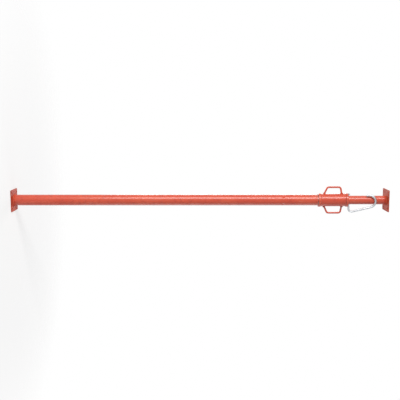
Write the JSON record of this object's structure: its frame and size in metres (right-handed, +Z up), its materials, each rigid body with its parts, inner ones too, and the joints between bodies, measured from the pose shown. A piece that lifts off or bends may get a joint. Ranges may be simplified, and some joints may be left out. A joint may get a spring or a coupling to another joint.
{
  "type": "adjustable steel prop",
  "caption": "Adjustable steel prop with two telescoping tubes, a screw collar with two bar handles, a locking pin with an open loop, and flat square end plates.",
  "frame": {"origin": "centre of the base plate's underside", "axes": "+Z up the prop from the base plate to the head plate, X through the collar's two handles and along the locking pin's shank, the pin's loop towards -Y"},
  "size_m": [0.154, 0.12, 2.0798],
  "materials": {
    "red_paint": "semi-gloss red oxide paint",
    "painted_weld": "rippled weld bead under red oxide paint",
    "zinc_plate": "bright zinc plate",
    "bare_steel": "greased bare steel"
  },
  "bodies": {
    "base": {"base_plate": "red_paint", "base_weld": "painted_weld", "outer_tube": "red_paint"},
    "lift_ring": {"thrust_ring": "red_paint"},
    "collar": {"thread_nut": "red_paint", "sleeve_tube": "red_paint", "sleeve_weld": "painted_weld", "handle_left": "red_paint", "handle_right": "red_paint", "handle_welds": "painted_weld"},
    "pin": {"g_pin": "zinc_plate"},
    "inner": {"inner_tube": "red_paint", "stop_ring": "bare_steel", "stop_weld": "bare_steel", "head_weld": "painted_weld", "head_plate": "red_paint"}
  },
  "joints": [
    {"name": "fine_lift", "type": "slide", "parent": "base", "child": "lift_ring", "axis": [0, 0, 1], "range_m": [0, 0.1]},
    {"name": "collar_turn", "type": "hinge", "parent": "lift_ring", "child": "collar", "pos_m": [0, 0, 1.78], "axis": [0, 0, 1], "range_deg": [0, 4500]},
    {"name": "tube_draw", "type": "slide", "parent": "lift_ring", "child": "inner", "axis": [0, 0, 1], "range_m": [0, 1.2]},
    {"name": "pin_swing", "type": "hinge", "parent": "lift_ring", "child": "pin", "pos_m": [0, 0, 1.8693], "axis": [1, 0, 0], "range_deg": [0, 110]}
  ],
  "couplings": [
    {"joint": "fine_lift", "follows": "collar_turn", "m_per_rad": 0.0012732}
  ]
}
